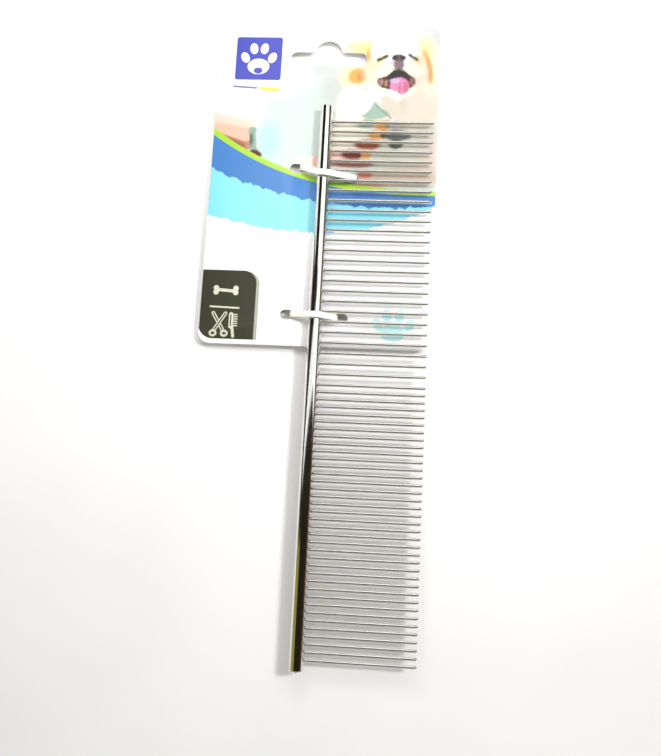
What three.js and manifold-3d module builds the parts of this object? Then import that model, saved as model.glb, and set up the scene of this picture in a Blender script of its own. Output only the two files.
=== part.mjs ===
// A steel pin comb tied to its printed hang card by two nylon ties.
// Millimetres. The card lies flat: +Z is up, +Y points to the hang slot, and +X points from the
// comb's spine to its pin tips. The origin is the bottom centre of the whole object's box.

import * as THREE from "three";
import { mergeVertices } from "three/addons/utils/BufferGeometryUtils.js";
import Module from "manifold-3d";

const wasm = await Module();
wasm.setup();

// Comb
const COMB_LENGTH = 190;
const SPINE_RADIUS = 2.325;
const SPINE_WALL = 0.5;
const SPINE_SIDES = 32;
const TOP_MARGIN = 5.5; // from the spine's upper end to the first pin
const COARSE_COUNT = 27;
const COARSE_PITCH = 3.58;
const FINE_COUNT = 36;
const FINE_PITCH = 2.445;
const PIN_RADIUS = 0.55;
const PIN_REACH = 37.75; // from the spine's axis to the pin tips
const PIN_TAPER = 1.1; // length over which a pin narrows to its tip
const PIN_TIP_RADIUS = 0.45;
const PIN_TIP_ROUNDING = 0.7; // share of the tip's radius left at the middle of its rounding
const PIN_SIDES = 8;
const PIN_FIT = 0.06; // clearance between a pin and its hole
const PIN_END_GAP = 0.15; // from a pin's inner end to the spine's far inner wall
const FOOT_SIZE = 0.8; // bar inside the spine that joins two fine pins
const PLUG_LENGTH = 2;
const PLUG_FIT = 0.06;
const PLUG_RIM_DEPTH = 0.3; // the plug's rim sits this far inside the spine's end
const PLUG_DISH_RADIUS = 1.06; // the plug's face is dished outside this radius
const PLUG_DISH_DEPTH = 0.09;
const NUB_RADIUS = 0.4;
const NUB_SLOPE = 0.05; // how much wider the nub is at its root
const NUB_REACH = { upper: 0, lower: 0.65 }; // how far the nub stands out of the spine's end

// Card
const CARD_WIDTH = 79;
const CARD_HEIGHT = 118;
const CARD_THICKNESS = 0.6;
const CARD_CORNER = 3.8;
const CARD_ABOVE_COMB = 32.7; // the card's top edge stands this far above the comb's upper end
const SPINE_OFFSET = 0.5; // the spine's axis lies this far right of the card's centre line
const SLOT_WIDTH = 27.5;
const SLOT_HEIGHT = 5;
const SLOT_BELOW_TOP = 12.9; // from the card's top edge to the slot's centre
const SLOT_BUMP_RADIUS = 4.8;
const SLOT_BUMP_RISE = 2.1; // from the slot's centre to the round bump's centre
const TIE_HOLE_RADIUS = 1.7;
const CARD_CURVE_STEPS = 8; // straight steps in a curve of the card's outline and holes

// Ties
const STRAP_WIDTH = 2.1;
const STRAP_THICKNESS = 0.8;
const STRAP_BEND = 0.85; // length of strap taken by each bend, on both sides of its corner
const STRAP_STEPS = 5; // straight steps in each bend of a strap
const STRAP_TO_SPINE = 0.25;
const STRAP_OVER_CARD = 0.75; // height of the strap's centre over the card where it turns down
const HEAD_LENGTH = 4.2;
const HEAD_WIDTH = 4;
const HEAD_HEIGHT = 2.6;
const HEAD_BEVEL = 0.25;
const HEAD_CURVE_STEPS = 2;
const CARD_TO_HEAD = 0.1;
const CARD_TO_STRAP = 0.2; // gap between the card's back and the strap behind it
const CARD_TO_SPINE = 0.15;

// Each tie passes over the spine between two coarse pins and goes down through a hole on each side.
// A hole is a circle, stretched towards the spine to make room for the strap. hole is the distance
// from the spine's axis to the circle's centre, strap is the distance to the strap's middle, and
// holeShift moves the hole along Y from where the strap crosses the spine. On the left, away from
// the pins, the strap drifts along Y to meet its hole.
const TIES = [
  {
    name: "tie_upper",
    afterPin: 6,
    left: { hole: 10.3, stretch: 1.25, strap: 8.2, holeShift: 3.35 },
    right: { hole: 10.4, stretch: 0, strap: 11.25, holeShift: 0 },
    head: 3,
  },
  {
    name: "tie_lower",
    afterPin: 20,
    left: { hole: 10.75, stretch: 1.25, strap: 8.65, holeShift: 0.8 },
    right: { hole: 9.05, stretch: 1.25, strap: 6.95, holeShift: 0 },
    head: 1.5,
  },
];
const DRIFT_START = 1.5; // the left side of a strap starts to drift this far from the spine's axis
const DRIFT_END_GAP = 0.4; // and is done this far before its middle line turns down

// Heights and places that follow from the sizes above
const CARD_BACK_Z = HEAD_HEIGHT + CARD_TO_HEAD;
const CARD_FRONT_Z = CARD_BACK_Z + CARD_THICKNESS;
const SPINE_Z = CARD_FRONT_Z + CARD_TO_SPINE + SPINE_RADIUS;
const CARD_TOP_Y = (CARD_ABOVE_COMB + COMB_LENGTH + NUB_REACH.lower) / 2;
const COMB_TOP_Y = CARD_TOP_Y - CARD_ABOVE_COMB;
const FIRST_PIN_Y = COMB_TOP_Y - TOP_MARGIN;
const COMB_BOTTOM_Y = COMB_TOP_Y - COMB_LENGTH;
const BORE_RADIUS = SPINE_RADIUS - SPINE_WALL;

const chrome = { color: 0xd9dadb, roughness: 0.12, metalness: 1 };
const MATERIALS = {
  spine_tube: chrome,
  end_plug: { color: 0xc9cacb, roughness: 0.25, metalness: 1 },
  pin: chrome,
  hang_card: { color: 0xf6f7f8, roughness: 0.35, metalness: 0 },
  tie: { color: 0xf3f1e8, roughness: 0.4, metalness: 0 },
};

const part = new THREE.Group();
const comb = new THREE.Group();
comb.position.set(SPINE_OFFSET, 0, SPINE_Z);
part.add(comb);

function addMesh(parent, name, geometry, material) {
  const mesh = new THREE.Mesh(geometry, new THREE.MeshStandardMaterial(MATERIALS[material]));
  mesh.name = name;
  parent.add(mesh);
  return mesh;
}

// A closed three.js geometry as a solid, with its shared vertices merged
function toSolid(geometry) {
  const bare = new THREE.BufferGeometry();
  bare.setAttribute("position", geometry.getAttribute("position"));
  bare.setIndex(geometry.getIndex());
  const merged = mergeVertices(bare, 1e-4);
  const index = merged.getIndex().array;
  const triangles = [];
  for (let i = 0; i < index.length; i += 3) {
    const [a, b, c] = [index[i], index[i + 1], index[i + 2]];
    if (a !== b && b !== c && c !== a) triangles.push(a, b, c);
  }
  const vertProperties = new Float32Array(merged.getAttribute("position").array);
  return new wasm.Manifold(new wasm.Mesh({
    numProp: 3,
    vertProperties,
    triVerts: new Uint32Array(triangles),
  }));
}

function toGeometry(solid) {
  const mesh = solid.getMesh();
  const geometry = new THREE.BufferGeometry();
  geometry.setAttribute("position", new THREE.BufferAttribute(mesh.vertProperties, 3));
  geometry.setIndex(new THREE.BufferAttribute(mesh.triVerts, 1));
  return geometry;
}

// A solid turned about the X axis, from a profile of [radius, distance along X]
function turnedAlongX(profile, sides) {
  const points = profile.map(([radius, along]) => new THREE.Vector2(radius, along));
  return new THREE.LatheGeometry(points, sides)
    .rotateY(Math.PI / sides)
    .rotateZ(-Math.PI / 2);
}

// Where a pin stands along the spine
function pinY(number) {
  const coarseSteps = Math.min(number, COARSE_COUNT) - 1;
  const fineSteps = Math.max(number - COARSE_COUNT, 0);
  return FIRST_PIN_Y - coarseSteps * COARSE_PITCH - fineSteps * FINE_PITCH;
}

// A straight round pin from inside the spine's bore to a tapered, rounded tip
function pinGeometry(y) {
  const start = PIN_END_GAP - BORE_RADIUS;
  const profile = [
    [0, start],
    [PIN_RADIUS, start],
    [PIN_RADIUS, PIN_REACH - PIN_TAPER],
    [PIN_TIP_RADIUS, PIN_REACH - PIN_TIP_RADIUS],
    [PIN_TIP_RADIUS * PIN_TIP_ROUNDING, PIN_REACH - PIN_TIP_RADIUS * (1 - PIN_TIP_ROUNDING)],
    [0, PIN_REACH],
  ];
  return turnedAlongX(profile, PIN_SIDES).translate(0, y, 0);
}

function pinHoleGeometry(y) {
  const radius = PIN_RADIUS + PIN_FIT;
  const profile = [
    [0, 0],
    [radius, 0],
    [radius, SPINE_RADIUS * 2],
    [0, SPINE_RADIUS * 2],
  ];
  return turnedAlongX(profile, PIN_SIDES).translate(0, y, 0);
}

// The spine: a tube with a row of holes for the pins along its +X side
function spineGeometry() {
  const ring = [
    [BORE_RADIUS, COMB_BOTTOM_Y],
    [SPINE_RADIUS, COMB_BOTTOM_Y],
    [SPINE_RADIUS, COMB_TOP_Y],
    [BORE_RADIUS, COMB_TOP_Y],
    [BORE_RADIUS, COMB_BOTTOM_Y],
  ];
  const points = ring.map(([radius, y]) => new THREE.Vector2(radius, y));
  let tube = toSolid(new THREE.LatheGeometry(points, SPINE_SIDES));
  for (let number = 1; number <= COARSE_COUNT + FINE_COUNT; number += 1) {
    tube = tube.subtract(toSolid(pinHoleGeometry(pinY(number))));
  }
  return toGeometry(tube);
}

// A plug for the upper end of the bore, with a dished face and a small nub in its middle. Its
// origin is on the spine's end.
function plugGeometry(nubReach) {
  const radius = BORE_RADIUS - PLUG_FIT;
  const profile = [
    [0, -PLUG_LENGTH],
    [radius, -PLUG_LENGTH],
    [radius, -PLUG_RIM_DEPTH],
    [PLUG_DISH_RADIUS, -PLUG_DISH_DEPTH],
    [NUB_RADIUS + NUB_SLOPE, nubReach - NUB_SLOPE],
    [NUB_RADIUS, nubReach],
    [0, nubReach],
  ];
  const points = profile.map(([r, along]) => new THREE.Vector2(r, along));
  return new THREE.LatheGeometry(points, SPINE_SIDES);
}

// Two fine pins joined by a bar that lies inside the spine's bore
function finePairGeometry(firstY, secondY) {
  const foot = new THREE.BoxGeometry(FOOT_SIZE, firstY - secondY, FOOT_SIZE);
  const footX = PIN_END_GAP - BORE_RADIUS + FOOT_SIZE / 2;
  foot.translate(footX, (firstY + secondY) / 2, 0);
  const pair = toSolid(pinGeometry(firstY))
    .add(toSolid(pinGeometry(secondY)))
    .add(toSolid(foot));
  return toGeometry(pair);
}

function buildComb() {
  addMesh(comb, "spine_tube", spineGeometry(), "spine_tube");
  const upperPlug = plugGeometry(NUB_REACH.upper).translate(0, COMB_TOP_Y, 0);
  const lowerPlug = plugGeometry(NUB_REACH.lower).rotateX(Math.PI).translate(0, COMB_BOTTOM_Y, 0);
  addMesh(comb, "end_plug_upper", upperPlug, "end_plug");
  addMesh(comb, "end_plug_lower", lowerPlug, "end_plug");
  for (let number = 1; number <= COARSE_COUNT; number += 1) {
    const name = `coarse_pin_${String(number).padStart(2, "0")}`;
    addMesh(comb, name, pinGeometry(pinY(number)), "pin");
  }
  for (let pair = 1; pair <= FINE_COUNT / 2; pair += 1) {
    const first = COARSE_COUNT + 2 * pair - 1;
    const name = `fine_pin_pair_${String(pair).padStart(2, "0")}`;
    addMesh(comb, name, finePairGeometry(pinY(first), pinY(first + 1)), "pin");
  }
}

function roundedRectangle(width, height, corner) {
  const [x, y] = [width / 2, height / 2];
  const shape = new THREE.Shape();
  shape.absarc(x - corner, y - corner, corner, 0, Math.PI / 2);
  shape.absarc(corner - x, y - corner, corner, Math.PI / 2, Math.PI);
  shape.absarc(corner - x, corner - y, corner, Math.PI, Math.PI * 1.5);
  shape.absarc(x - corner, corner - y, corner, Math.PI * 1.5, Math.PI * 2);
  shape.closePath();
  return shape;
}

// The hang slot: a long slot with a round bump over its middle
function hangSlot(centreY) {
  const end = SLOT_HEIGHT / 2;
  const reach = SLOT_WIDTH / 2 - end;
  const bumpY = centreY + SLOT_BUMP_RISE;
  const bumpStart = Math.asin((end - SLOT_BUMP_RISE) / SLOT_BUMP_RADIUS);
  const slot = new THREE.Path();
  slot.absarc(0, bumpY, SLOT_BUMP_RADIUS, bumpStart, Math.PI - bumpStart);
  slot.absarc(-reach, centreY, end, Math.PI / 2, Math.PI * 1.5);
  slot.absarc(reach, centreY, end, -Math.PI / 2, Math.PI / 2);
  slot.closePath();
  return slot;
}

// A circle stretched along X from centreX, by stretch towards positive or negative X
function tieHole(centreX, centreY, stretch) {
  const [left, right] = [Math.min(centreX, centreX + stretch), Math.max(centreX, centreX + stretch)];
  const hole = new THREE.Path();
  hole.absarc(right, centreY, TIE_HOLE_RADIUS, -Math.PI / 2, Math.PI / 2);
  hole.absarc(left, centreY, TIE_HOLE_RADIUS, Math.PI / 2, Math.PI * 1.5);
  hole.closePath();
  return hole;
}

function tieCrossingY(tie) {
  return (pinY(tie.afterPin) + pinY(tie.afterPin + 1)) / 2;
}

// The card: one board with rounded corners, the hang slot and two pairs of tie holes
function cardGeometry() {
  const cardCentreY = CARD_TOP_Y - CARD_HEIGHT / 2;
  const outline = roundedRectangle(CARD_WIDTH, CARD_HEIGHT, CARD_CORNER);
  outline.holes.push(hangSlot(CARD_HEIGHT / 2 - SLOT_BELOW_TOP));
  for (const tie of TIES) {
    const y = tieCrossingY(tie) - cardCentreY;
    const { left, right } = tie;
    outline.holes.push(
      tieHole(SPINE_OFFSET - left.hole, y + left.holeShift, left.stretch),
      tieHole(SPINE_OFFSET + right.hole, y + right.holeShift, -right.stretch),
    );
  }
  const options = {
    depth: CARD_THICKNESS,
    bevelEnabled: false,
    curveSegments: CARD_CURVE_STEPS,
  };
  return new THREE.ExtrudeGeometry(outline, options).translate(0, cardCentreY, CARD_BACK_Z);
}

// The middle line of one tie's strap as a closed loop in X and Z, X from the spine's axis
function strapLine(tie) {
  const radius = SPINE_RADIUS + STRAP_TO_SPINE + STRAP_THICKNESS / 2;
  const [leftX, rightX] = [-tie.left.strap, tie.right.strap];
  const topZ = CARD_FRONT_Z + STRAP_OVER_CARD;
  const backZ = CARD_BACK_Z - CARD_TO_STRAP - STRAP_THICKNESS / 2;
  const drop = SPINE_Z - topZ;

  // the angle, from straight up, at which the strap leaves the spine towards a corner
  const leaveAngle = (x) => Math.atan2(x, -drop) - Math.acos(radius / Math.hypot(x, drop));
  const leaveRight = leaveAngle(rightX);
  const leaveLeft = leaveAngle(-leftX);

  const line = new THREE.Path();
  const corners = [
    [rightX, topZ],
    [rightX, backZ],
    [leftX, backZ],
    [leftX, topZ],
  ];
  line.absarc(0, SPINE_Z, radius, Math.PI / 2 + leaveLeft, Math.PI / 2 - leaveRight, true);
  for (let i = 0; i < corners.length; i += 1) {
    const corner = new THREE.Vector2(...corners[i]);
    const next = i + 1 < corners.length ? new THREE.Vector2(...corners[i + 1]) : null;
    const towards = next ?? new THREE.Vector2(
      -radius * Math.sin(leaveLeft),
      SPINE_Z + radius * Math.cos(leaveLeft),
    );
    const into = line.currentPoint.clone().sub(corner).setLength(STRAP_BEND).add(corner);
    const out = towards.clone().sub(corner).setLength(STRAP_BEND).add(corner);
    line.lineTo(into.x, into.y);
    line.quadraticCurveTo(corner.x, corner.y, out.x, out.y);
  }
  return line.getPoints(STRAP_STEPS);
}

// How far the strap has drifted along Y at one point of its middle line
function strapDrift(tie, x, z) {
  const [leftX, rightX] = [-tie.left.strap, tie.right.strap];
  if (z < CARD_BACK_Z) return THREE.MathUtils.mapLinear(x, leftX, rightX, tie.left.holeShift, 0);
  const drifted = (-x - DRIFT_START) / (-leftX - DRIFT_END_GAP - DRIFT_START);
  return tie.left.holeShift * THREE.MathUtils.clamp(drifted, 0, 1);
}

// A closed flat band swept round a strap's middle line
function strapGeometry(tie) {
  const line = strapLine(tie);
  if (line[0].distanceTo(line.at(-1)) < 1e-3) line.pop();
  const count = line.length;
  const positions = [];
  const index = [];
  for (let i = 0; i < count; i += 1) {
    const before = line[(i + count - 1) % count];
    const after = line[(i + 1) % count];
    const normal = new THREE.Vector2(before.y - after.y, after.x - before.x).normalize();
    const drift = strapDrift(tie, line[i].x, line[i].y);
    for (const [side, y] of [[1, -1], [1, 1], [-1, 1], [-1, -1]]) {
      const x = line[i].x + (side * normal.x * STRAP_THICKNESS) / 2;
      const z = line[i].y + (side * normal.y * STRAP_THICKNESS) / 2;
      positions.push(x, drift + (y * STRAP_WIDTH) / 2, z);
    }
    for (let k = 0; k < 4; k += 1) {
      const a = 4 * i + k;
      const b = 4 * i + ((k + 1) % 4);
      const c = (a + 4) % (4 * count);
      const d = (b + 4) % (4 * count);
      index.push(a, c, b, b, c, d);
    }
  }
  const geometry = new THREE.BufferGeometry();
  geometry.setAttribute("position", new THREE.Float32BufferAttribute(positions, 3));
  geometry.setIndex(index);
  return geometry;
}

// The square head behind the card, in one piece with the strap
function headGeometry(tie) {
  const inner = HEAD_BEVEL * 2;
  const outline = roundedRectangle(HEAD_LENGTH - inner, HEAD_WIDTH - inner, HEAD_BEVEL);
  const options = {
    depth: HEAD_HEIGHT - inner,
    bevelSize: HEAD_BEVEL,
    bevelThickness: HEAD_BEVEL,
    bevelSegments: 1,
    curveSegments: HEAD_CURVE_STEPS,
  };
  const drift = strapDrift(tie, tie.head, 0);
  return new THREE.ExtrudeGeometry(outline, options).translate(tie.head, drift, HEAD_BEVEL);
}

function buildTie(tie) {
  const solid = toSolid(strapGeometry(tie)).add(toSolid(headGeometry(tie)));
  const mesh = addMesh(part, tie.name, toGeometry(solid), "tie");
  mesh.position.set(SPINE_OFFSET, tieCrossingY(tie), 0);
}

buildComb();
addMesh(part, "hang_card", cardGeometry(), "hang_card");
TIES.forEach(buildTie);

export default part;
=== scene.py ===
"""The visual model of a steel pin comb tied to its printed hang card by two nylon ties.

Lengths in this file are millimetres until they reach Blender, which takes metres. Places come from
the CAD frame. The card's print is laid out from the spine's axis (x) and the first pin (y).
"""

import math
import random

import bmesh
import bpy
import numpy as np
from mathutils import Matrix, Vector


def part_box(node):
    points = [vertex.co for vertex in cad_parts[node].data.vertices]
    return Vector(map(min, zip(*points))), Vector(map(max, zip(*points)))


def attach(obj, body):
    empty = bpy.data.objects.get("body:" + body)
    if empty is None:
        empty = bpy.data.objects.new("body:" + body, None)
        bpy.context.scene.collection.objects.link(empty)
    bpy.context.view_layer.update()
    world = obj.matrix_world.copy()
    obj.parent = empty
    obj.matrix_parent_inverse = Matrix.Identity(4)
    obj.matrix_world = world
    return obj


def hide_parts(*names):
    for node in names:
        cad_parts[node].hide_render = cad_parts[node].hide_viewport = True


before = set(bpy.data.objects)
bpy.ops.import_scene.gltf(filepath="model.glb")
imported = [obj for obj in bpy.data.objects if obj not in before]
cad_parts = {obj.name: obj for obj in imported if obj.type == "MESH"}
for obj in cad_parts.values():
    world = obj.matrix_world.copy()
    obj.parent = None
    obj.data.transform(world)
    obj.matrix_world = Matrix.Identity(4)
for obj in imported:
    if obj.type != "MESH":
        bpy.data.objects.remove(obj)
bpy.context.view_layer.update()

MM = 0.001
scene = bpy.context.scene
dice = random.Random(7)


def box_mm(node):
    low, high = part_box(node)
    return low / MM, high / MM


# ---------------------------------------------------------------- sizes and places

spine_low, spine_high = box_mm("spine_tube")
SPINE_X = (spine_low.x + spine_high.x) / 2
SPINE_Z = (spine_low.z + spine_high.z) / 2
SPINE_RADIUS = (spine_high.x - spine_low.x) / 2
SPINE_WALL = 0.5
SPINE_SEGMENTS = 96
SPINE_RIM = 0.3  # radius of the rounding at the spine's two ends
RIM_POINTS = 7
BORE_RING = 4  # distance from the spine's ends to the first rings inside its bore

PLUG_LENGTH = 2.0
PLUG_FIT = 0.01  # how far a plug is pressed into the bore's wall
PLUG_SEGMENTS = 48
# A plug's dished face as (depth under the spine's end, share of the plug's radius)
PLUG_DISH = ((0.55, 1), (0.42, 0.93), (0.32, 0.75), (0.25, 0.5))
NUB_FOOT = (0.24, 0.5)  # where the nub rises from the dish: (depth, radius)
NUB_CROWN = ((0.2, 0.41), (0.08, 0.38), (0.03, 0.323), (0.005, 0.19), (0, 0))  # below its tip

first_low, first_high = box_mm("coarse_pin_01")
FIRST_PIN_Y = (first_low.y + first_high.y) / 2
PIN_TIP_X = first_high.x - SPINE_X
PIN_START_X = first_low.x - SPINE_X
PIN_RADIUS = 0.55
PIN_TAPER = 1.1
PIN_NECK = 0.47  # radius where the taper meets the rounded tip
PIN_TAPER_POINTS = 8
PIN_TIP_ANGLES = (22, 42, 60, 76)
PIN_SEGMENTS = 20
# The plating fillet at a pin's root as (distance from the spine's surface, radius)
PIN_FILLET = ((-0.35, PIN_RADIUS), (-0.2, 0.84), (0.02, 0.74), (0.18, 0.64), (0.42, 0.57),
              (0.8, PIN_RADIUS))
PIN_LEAN = 0.07  # most that a pin leans along the spine, in degrees
PIN_RISE = 0.12  # and out of the row's plane
COARSE_PINS = 27
FINE_PAIRS = 18
FINE_PITCH = 2.445

card_low, card_high = box_mm("hang_card")
CARD_CENTRE = (card_low + card_high) / 2
CARD_HALF = (card_high - card_low) / 2
CARD_CORNER = 3.8
CARD_EDGE = 0.06  # rounding of the card's cut edges
SLOT_HALF_LENGTH = 13.75
SLOT_HALF_HEIGHT = 2.5
SLOT_BELOW_TOP = 12.9
SLOT_BUMP_RADIUS = 4.8
SLOT_BUMP_RISE = 2.1
TIE_HOLE_RADIUS = 1.7
ARC_POINTS = 20

STRAP_WIDTH = 2.1
STRAP_THICKNESS = 0.8
STRAP_ROUNDING = 0.24
STRAP_CORNER_POINTS = 5
STRAP_BEND = 0.85  # length of strap taken by each bend, on both sides of its corner
STRAP_WRAP_POINTS = 40
STRAP_STEPS = 10  # steps in each straight run and each bend
STRAP_TO_SPINE = 0.25
STRAP_OVER_CARD = 0.75  # height of the strap's middle over the card where it turns down
CARD_TO_STRAP = 0.2
DRIFT_START = 1.5  # the left side of a strap starts to drift this far from the spine's axis
DRIFT_END_GAP = 0.4  # and is done this far before its middle line turns down
HEAD_SIZE = (4.2, 4.0, 2.6)
HEAD_LIFT = 0.24  # the head's body starts this far above the floor
HEAD_ROUNDING = 0.32
SIDE_BAR = (4.1, 0.55, 0.6)  # the slot frame's bars along the strap
END_BAR = (0.55, 3.8, 0.6)  # and across it
BAR_ROUNDING = 0.12
TOOTH_SIZE = (0.3, 2.5, 0.3)
TOOTH_PLACES = (-0.75, -0.13, 0.49)  # along the strap, from the head's middle
TOOTH_Z = 0.22
TOOTH_ROUNDING = 0.06
DETAIL_STEPS = 2  # steps in the rounding of a head's bars and teeth
# Each pair is for a tie's left and right side, measured from the spine's axis
TIES = {
    "tie_upper": {"holes": (-10.3, 10.4), "stretch": (1.25, 0), "strap": (-8.2, 11.25),
                  "shift": (3.35, 0), "head": 3.0},
    "tie_lower": {"holes": (-10.75, 9.05), "stretch": (1.25, -1.25), "strap": (-8.65, 6.95),
                  "shift": (0.8, 0), "head": 1.5},
}
TIE_AFTER_PIN = {"tie_upper": 6, "tie_lower": 20}
CORNERS = ((1, 1, 0), (-1, 1, 90), (-1, -1, 180), (1, -1, 270))  # side in x, side in y, start
SHARP_ANGLE = 38  # edges sharper than this many degrees stay sharp when shaded


def coarse_y(number):
    """The place along the spine of a coarse pin, counted from the upper end."""
    low, high = box_mm(f"coarse_pin_{number:02d}")
    return (low.y + high.y) / 2


def crossing_y(tie):
    """Where a tie crosses the spine: half way between two coarse pins."""
    number = TIE_AFTER_PIN[tie]
    return (coarse_y(number) + coarse_y(number + 1)) / 2


# ---------------------------------------------------------------- mesh helpers


def to_mesh(name, build):
    """A mesh in metres from a function that fills a bmesh in millimetres."""
    bm = bmesh.new()
    build(bm)
    bmesh.ops.recalc_face_normals(bm, faces=bm.faces)
    bmesh.ops.scale(bm, vec=(MM, MM, MM), verts=bm.verts)
    mesh = bpy.data.meshes.new(name)
    bm.to_mesh(mesh)
    bm.free()
    mesh.shade_smooth()
    mesh.set_sharp_from_angle(angle=math.radians(SHARP_ANGLE))
    return mesh


def add_piece(name, mesh, place, body, materials, nodes):
    """Puts a mesh at a place in millimetres, as a piece that rides on a body."""
    piece = bpy.data.objects.new(name, mesh)
    scene.collection.objects.link(piece)
    piece.location = Vector(place) * MM
    for material in materials:
        mesh.materials.append(material)
    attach(piece, body)
    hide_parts(*nodes)
    return piece


def lathe(bm, profile, segments, matrix, closed=False):
    """Turns a profile of (distance along X, radius) about the X axis."""
    rings = []
    for along, radius in profile:
        if radius == 0:
            rings.append([bm.verts.new(matrix @ Vector((along, 0, 0)))])
            continue
        ring = []
        for k in range(segments):
            angle = 2 * math.pi * k / segments
            point = Vector((along, radius * math.cos(angle), radius * math.sin(angle)))
            ring.append(bm.verts.new(matrix @ point))
        rings.append(ring)
    if closed:
        rings.append(rings[0])
    for ring, after in zip(rings, rings[1:]):
        for k in range(segments):
            n = (k + 1) % segments
            if len(ring) == 1:
                bm.faces.new((ring[0], after[n], after[k]))
            elif len(after) == 1:
                bm.faces.new((ring[k], ring[n], after[0]))
            else:
                bm.faces.new((ring[k], ring[n], after[n], after[k]))


def arc(centre, radius, start, end, count):
    """Points on an arc, both ends included, angles in degrees."""
    angles = np.radians(np.linspace(start, end, count))
    return [(centre[0] + radius * math.cos(a), centre[1] + radius * math.sin(a)) for a in angles]


def bridge(bm, loops):
    """Faces between loops of the same number of vertices, each joined to the next."""
    for loop, after in zip(loops, loops[1:]):
        count = len(loop)
        for k in range(count):
            n = (k + 1) % count
            bm.faces.new((loop[k], loop[n], after[n], after[k]))


# ---------------------------------------------------------------- node helpers


def feed(tree, socket, value):
    """Links an output socket to an input, or sets the input to a plain value."""
    if isinstance(value, bpy.types.NodeSocket):
        tree.links.new(value, socket)
    else:
        socket.default_value = value


def node(tree, kind, inputs=None, out=0, **settings):
    """Adds a shader node and returns one of its output sockets."""
    made = tree.nodes.new("ShaderNode" + kind)
    for key, value in settings.items():
        setattr(made, key, value)
    for key, value in (inputs or {}).items():
        feed(tree, made.inputs[key], value)
    return made.outputs[out]


def maths(tree, operation, *values):
    return node(tree, "Math", dict(enumerate(values)), operation=operation)


def vector_maths(tree, operation, *values, out=0):
    return node(tree, "VectorMath", dict(enumerate(values)), operation=operation, out=out)


def mix_colour(tree, factor, a, b, blend="MIX"):
    inputs = {0: factor, 6: a, 7: b}
    return node(tree, "Mix", inputs, out=2, data_type="RGBA", blend_type=blend)


def map_range(tree, value, low, high, to_low=0.0, to_high=1.0, smooth=False):
    inputs = {"Value": value, "From Min": low, "From Max": high, "To Min": to_low, "To Max": to_high}
    kind = "SMOOTHSTEP" if smooth else "LINEAR"
    return node(tree, "MapRange", inputs, interpolation_type=kind)


def noise(tree, vector, scale, detail, roughness, out=0):
    inputs = {"Vector": vector, "Scale": scale, "Detail": detail, "Roughness": roughness}
    return node(tree, "TexNoise", inputs, out=out)


def object_mm(tree):
    """Object coordinates in millimetres."""
    inputs = {0: node(tree, "TexCoord", out=3), "Scale": 1 / MM}
    return node(tree, "VectorMath", inputs, operation="SCALE")


def stretched(tree, vector, scale):
    return node(tree, "Mapping", {"Vector": vector, "Scale": scale}, vector_type="POINT")


def new_material(name, build):
    """A material whose tree is made by build(tree, shader)."""
    material = bpy.data.materials.new(name)
    material.use_nodes = True
    tree = material.node_tree
    shader = tree.nodes["Principled BSDF"]
    build(tree, shader)
    return material


def bump(tree, shader, height, strength, distance):
    inputs = {"Height": height, "Strength": strength, "Distance": distance * MM}
    feed(tree, shader.inputs["Normal"], node(tree, "Bump", inputs))


def linear(red, green, blue):
    """sRGB from 0 to 255 as a linear colour."""
    def one(value):
        value /= 255
        return value / 12.92 if value <= 0.04045 else ((value + 0.055) / 1.055) ** 2.4
    return (one(red), one(green), one(blue), 1.0)


# ---------------------------------------------------------------- metal


def chrome(colour, dull, grain, metallic=1.0):
    """Bright nickel plating: grain is the direction in which fine polishing marks run."""
    def build(tree, shader):
        where = object_mm(tree)
        marks = noise(tree, stretched(tree, where, grain), 1.0, 4.0, 0.6)
        clouds = noise(tree, where, 0.35, 3.0, 0.55)
        specks = noise(tree, where, 3.4, 2.0, 0.5)
        tint = map_range(tree, clouds, 0.35, 0.7)
        shade = mix_colour(tree, tint, colour, [c * 0.93 for c in colour[:3]] + [1.0])
        pits = map_range(tree, specks, 0.72, 0.78)
        shade = mix_colour(tree, maths(tree, "MULTIPLY", pits, 0.35), shade, linear(95, 88, 76))
        rough = map_range(tree, marks, 0.3, 0.75, dull, dull + 0.09)
        rough = maths(tree, "ADD", rough, maths(tree, "MULTIPLY", pits, 0.2))
        feed(tree, shader.inputs["Base Color"], shade)
        feed(tree, shader.inputs["Roughness"], rough)
        shader.inputs["Metallic"].default_value = metallic
        bump(tree, shader, marks, 0.06, 0.05)
    return build


spine_chrome = new_material("spine_chrome", chrome(linear(236, 236, 232), 0.05, (6, 0.25, 6)))
pin_chrome = new_material("pin_chrome", chrome(linear(232, 230, 226), 0.17, (0.3, 7, 7)))
plug_metal = new_material("plug_metal", chrome(linear(232, 231, 228), 0.2, (3, 3, 3), 0.5))


# ---------------------------------------------------------------- comb


def rounded_rim(end, radius, towards):
    """Profile points round a rim of the spine, from its outer side to its inner side."""
    centre_radius = radius - SPINE_RIM
    angles = np.radians(np.linspace(0, 90, RIM_POINTS))
    return [
        (end - towards * SPINE_RIM * (1 - math.sin(a)), centre_radius + SPINE_RIM * math.cos(a))
        for a in angles
    ]


def build_spine(bm):
    bore = SPINE_RADIUS - SPINE_WALL
    low, high = spine_low.y, spine_high.y
    profile = [(low, bore)]
    profile += list(reversed(rounded_rim(low, SPINE_RADIUS, -1)))
    profile += rounded_rim(high, SPINE_RADIUS, 1)
    profile += [(high, bore), (high - BORE_RING, bore), (low + BORE_RING, bore)]
    lathe(bm, profile, SPINE_SEGMENTS, Matrix.Rotation(math.pi / 2, 4, "Z"), closed=True)


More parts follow.
